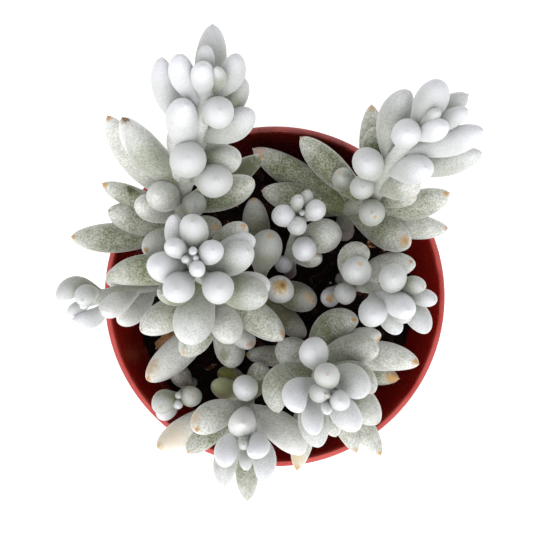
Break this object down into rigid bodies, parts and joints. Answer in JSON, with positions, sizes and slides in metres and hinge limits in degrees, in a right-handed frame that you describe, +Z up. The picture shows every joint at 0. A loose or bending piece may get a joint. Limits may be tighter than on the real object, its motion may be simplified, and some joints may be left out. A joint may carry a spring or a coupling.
{
  "type": "potted cocoon plant",
  "caption": "Young cocoon plant: leafy stems of felted, spindle-shaped leaves in dark potting mix in a round red plastic pot.",
  "frame": {"origin": "middle of the flat underside of the pot, on the surface that it stands on", "axes": "+Z up through the middle of the pot, +Y towards the back, where two tall shoots lean over the lip, +X to the right"},
  "size_m": [0.1127, 0.1236, 0.151],
  "materials": {
    "pot_plastic": "satin",
    "potting_mix": "matte",
    "leaf_felt": "matte",
    "leaf_felt_shaded": "matte"
  },
  "bodies": {
    "root": {"pot": "pot_plastic", "soil": "potting_mix", "shoot_back_left": "leaf_felt", "shoot_middle_left": "leaf_felt", "shoot_left": "leaf_felt", "shoot_front_left": "leaf_felt", "shoot_front": "leaf_felt", "shoot_front_middle": "leaf_felt", "shoot_right": "leaf_felt", "shoot_back_right": "leaf_felt", "shoot_centre": "leaf_felt", "shoot_low": "leaf_felt_shaded"}
  },
  "joints": []
}
